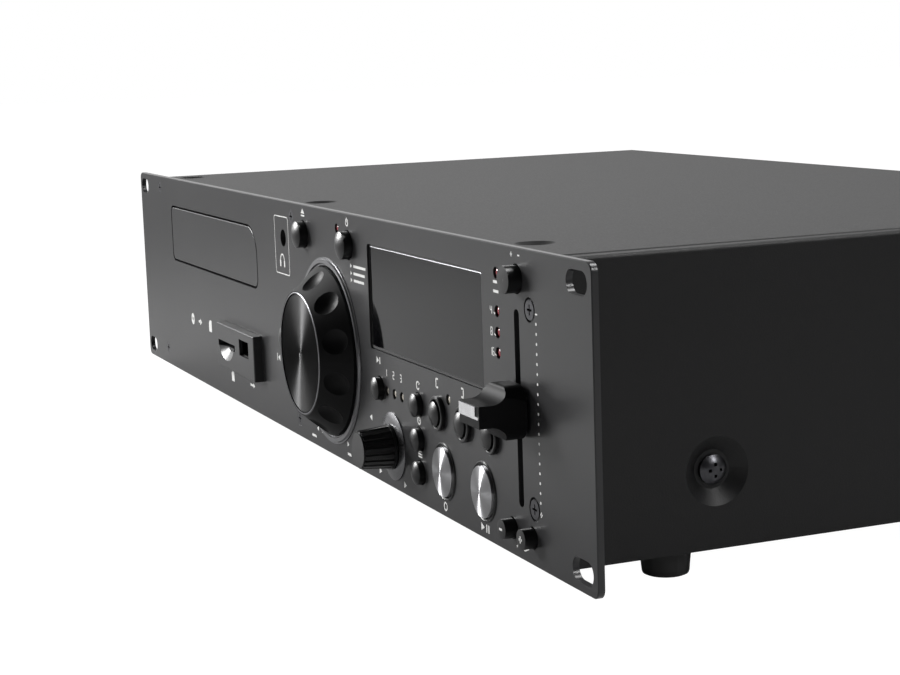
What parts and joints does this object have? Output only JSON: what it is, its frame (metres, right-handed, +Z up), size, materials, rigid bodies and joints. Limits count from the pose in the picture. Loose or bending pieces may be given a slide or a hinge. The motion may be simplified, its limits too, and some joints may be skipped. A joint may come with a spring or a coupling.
{
  "type": "disc player",
  "caption": "Rack-mounted disc player with a motor-driven drawer, display window, jog wheel, pitch fader, push keys and card and USB sockets in a charcoal front panel.",
  "frame": {"origin": "centre of the four rack slots, on the rear face of the front panel", "axes": "+X to the user's right along the panel, +Y from the panel to the rear, +Z up"},
  "size_m": [0.4826, 0.2733, 0.0951],
  "materials": {
    "panel_paint": "satin charcoal paint on steel",
    "zinc_sheet": "zinc-plated sheet steel",
    "powder_black": "fine-textured black powder coat",
    "rubber_black": "moulded black rubber",
    "screw_black": "black-oxide steel",
    "window_acrylic": "smoked acrylic, glossy",
    "display_glass": "dark display glass in a moulded frame",
    "module_black": "fine-textured moulded ABS",
    "socket_black": "moulded nylon",
    "nickel_shell": "bright nickel-plated steel",
    "trim_black": "semi-gloss moulded ABS",
    "wheel_grey": "satin moulded ABS",
    "spun_dark": "spun aluminium, dark anodised",
    "bearing_white": "moulded acetal",
    "knob_black": "moulded ABS",
    "lever_steel": "bare steel",
    "chrome_trim": "hot-stamped bright trim",
    "switch_black": "moulded nylon",
    "led_red": "diffused red epoxy",
    "board_green": "glass-epoxy board, green mask",
    "core_steel": "varnished laminations",
    "tray_black": "moulded polystyrene",
    "frame_black": "glass-filled ABS",
    "rod_steel": "ground stainless steel",
    "motor_can": "bright-plated steel can",
    "spun_alu": "spun face, clear anodised",
    "key_grey": "satin-gloss moulded ABS"
  },
  "bodies": {
    "housing": {"front_panel": "panel_paint", "chassis_pan": "zinc_sheet", "top_cover": "powder_black", "rear_panel": "powder_black", "feet": "rubber_black", "cover_screws": "screw_black", "panel_screws": "screw_black", "display_window": "window_acrylic", "display_module": "display_glass", "media_module": "module_black", "card_socket": "socket_black", "usb_socket": "nickel_shell", "phones_socket": "socket_black", "jog_ring": "trim_black", "jog_bearing": "bearing_white", "selector_skirt": "trim_black", "selector_encoder": "zinc_sheet", "fader_body": "zinc_sheet", "key_rings": "trim_black", "key_switches": "switch_black", "indicator_leds": "led_red", "control_board": "board_green", "circuit_boards": "board_green", "transformer": "core_steel", "mains_inlet": "socket_black", "output_sockets": "nickel_shell", "loader_frame": "frame_black", "traverse_plate": "zinc_sheet", "sled_rods": "rod_steel", "spindle_motor": "motor_can", "drive_motors": "motor_can", "clamp_bridge": "zinc_sheet"},
    "tray": {"disc_tray": "tray_black", "drawer_front": "panel_paint"},
    "loading_pinion": {"loading_gear": "bearing_white"},
    "spindle": {"turntable": "frame_black"},
    "clamp": {"disc_clamp": "bearing_white"},
    "sled": {"pickup_sled": "frame_black"},
    "sled_pinion": {"sled_gear": "bearing_white"},
    "jog": {"jog_wheel": "wheel_grey", "jog_plate": "spun_dark"},
    "selector": {"selector_knob": "knob_black"},
    "fader": {"fader_cap": "knob_black", "fader_insert": "chrome_trim", "fader_lever": "lever_steel"},
    "open_button": {"open_key": "key_grey"},
    "power_button": {"power_key": "key_grey"},
    "folder_button": {"folder_key": "key_grey"},
    "source_button": {"source_key": "key_grey"},
    "time_button": {"time_key": "key_grey"},
    "repeat_button": {"repeat_key": "key_grey"},
    "program_button": {"program_key": "key_grey"},
    "loop_in_button": {"loop_in_key": "key_grey"},
    "loop_out_button": {"loop_out_key": "key_grey"},
    "reloop_button": {"reloop_key": "key_grey"},
    "cue_button": {"cue_key": "spun_alu"},
    "play_button": {"play_key": "spun_alu"},
    "pitch_button": {"pitch_key": "key_grey"},
    "bend_minus_button": {"bend_minus_key": "key_grey"},
    "bend_plus_button": {"bend_plus_key": "key_grey"}
  },
  "joints": [
    {"name": "tray_slide", "type": "slide", "parent": "housing", "child": "tray", "axis": [0, -1, 0], "range_m": [0, 0.13]},
    {"name": "loading_gear_turn", "type": "hinge", "parent": "housing", "child": "loading_pinion", "pos_m": [-0.1525, 0.018, 0.01095], "axis": [0, 0, 1], "range_deg": [0, 621]},
    {"name": "turntable_spin", "type": "hinge", "parent": "housing", "child": "spindle", "pos_m": [-0.1185, 0.066, 0.00595], "axis": [0, 0, 1], "continuous": true},
    {"name": "clamp_spin", "type": "hinge", "parent": "housing", "child": "clamp", "pos_m": [-0.1185, 0.066, 0.02095], "axis": [0, 0, 1], "continuous": true},
    {"name": "sled_slide", "type": "slide", "parent": "housing", "child": "sled", "axis": [0, 1, 0], "range_m": [0, 0.034]},
    {"name": "sled_gear_turn", "type": "hinge", "parent": "housing", "child": "sled_pinion", "pos_m": [-0.0865, 0.112, 0.00395], "axis": [0, 0, 1], "range_deg": [-244, 0]},
    {"name": "jog_turn", "type": "hinge", "parent": "housing", "child": "jog", "pos_m": [0.0323, -0.004, -0.0063], "axis": [0, -1, 0], "continuous": true},
    {"name": "selector_turn", "type": "hinge", "parent": "housing", "child": "selector", "pos_m": [0.0938, -0.008, -0.02975], "axis": [0, -1, 0], "continuous": true},
    {"name": "pitch_slide", "type": "slide", "parent": "housing", "child": "fader", "axis": [0, 0, 1], "range_m": [-0.0245, 0.0245]},
    {"name": "open_press", "type": "slide", "parent": "housing", "child": "open_button", "axis": [0, 1, 0], "range_m": [0, 0.001], "stiffness_N_per_m": 400, "springref_m": -0.001},
    {"name": "power_press", "type": "slide", "parent": "housing", "child": "power_button", "axis": [0, 1, 0], "range_m": [0, 0.001], "stiffness_N_per_m": 400, "springref_m": -0.001},
    {"name": "folder_press", "type": "slide", "parent": "housing", "child": "folder_button", "axis": [0, 1, 0], "range_m": [0, 0.001], "stiffness_N_per_m": 400, "springref_m": -0.001},
    {"name": "source_press", "type": "slide", "parent": "housing", "child": "source_button", "axis": [0, 1, 0], "range_m": [0, 0.001], "stiffness_N_per_m": 400, "springref_m": -0.001},
    {"name": "time_press", "type": "slide", "parent": "housing", "child": "time_button", "axis": [0, 1, 0], "range_m": [0, 0.001], "stiffness_N_per_m": 400, "springref_m": -0.001},
    {"name": "repeat_press", "type": "slide", "parent": "housing", "child": "repeat_button", "axis": [0, 1, 0], "range_m": [0, 0.001], "stiffness_N_per_m": 400, "springref_m": -0.001},
    {"name": "program_press", "type": "slide", "parent": "housing", "child": "program_button", "axis": [0, 1, 0], "range_m": [0, 0.001], "stiffness_N_per_m": 400, "springref_m": -0.001},
    {"name": "loop_in_press", "type": "slide", "parent": "housing", "child": "loop_in_button", "axis": [0, 1, 0], "range_m": [0, 0.001], "stiffness_N_per_m": 400, "springref_m": -0.001},
    {"name": "loop_out_press", "type": "slide", "parent": "housing", "child": "loop_out_button", "axis": [0, 1, 0], "range_m": [0, 0.001], "stiffness_N_per_m": 400, "springref_m": -0.001},
    {"name": "reloop_press", "type": "slide", "parent": "housing", "child": "reloop_button", "axis": [0, 1, 0], "range_m": [0, 0.001], "stiffness_N_per_m": 400, "springref_m": -0.001},
    {"name": "cue_press", "type": "slide", "parent": "housing", "child": "cue_button", "axis": [0, 1, 0], "range_m": [0, 0.001], "stiffness_N_per_m": 400, "springref_m": -0.001},
    {"name": "play_press", "type": "slide", "parent": "housing", "child": "play_button", "axis": [0, 1, 0], "range_m": [0, 0.001], "stiffness_N_per_m": 400, "springref_m": -0.001},
    {"name": "pitch_press", "type": "slide", "parent": "housing", "child": "pitch_button", "axis": [0, 1, 0], "range_m": [0, 0.001], "stiffness_N_per_m": 400, "springref_m": -0.001},
    {"name": "bend_minus_press", "type": "slide", "parent": "housing", "child": "bend_minus_button", "axis": [0, 1, 0], "range_m": [0, 0.001], "stiffness_N_per_m": 400, "springref_m": -0.001},
    {"name": "bend_plus_press", "type": "slide", "parent": "housing", "child": "bend_plus_button", "axis": [0, 1, 0], "range_m": [0, 0.001], "stiffness_N_per_m": 400, "springref_m": -0.001}
  ],
  "couplings": [
    {"joint": "loading_gear_turn", "follows": "tray_slide", "rad_per_m": 83.333},
    {"joint": "clamp_spin", "follows": "turntable_spin", "ratio": 1},
    {"joint": "sled_gear_turn", "follows": "sled_slide", "rad_per_m": -125}
  ]
}
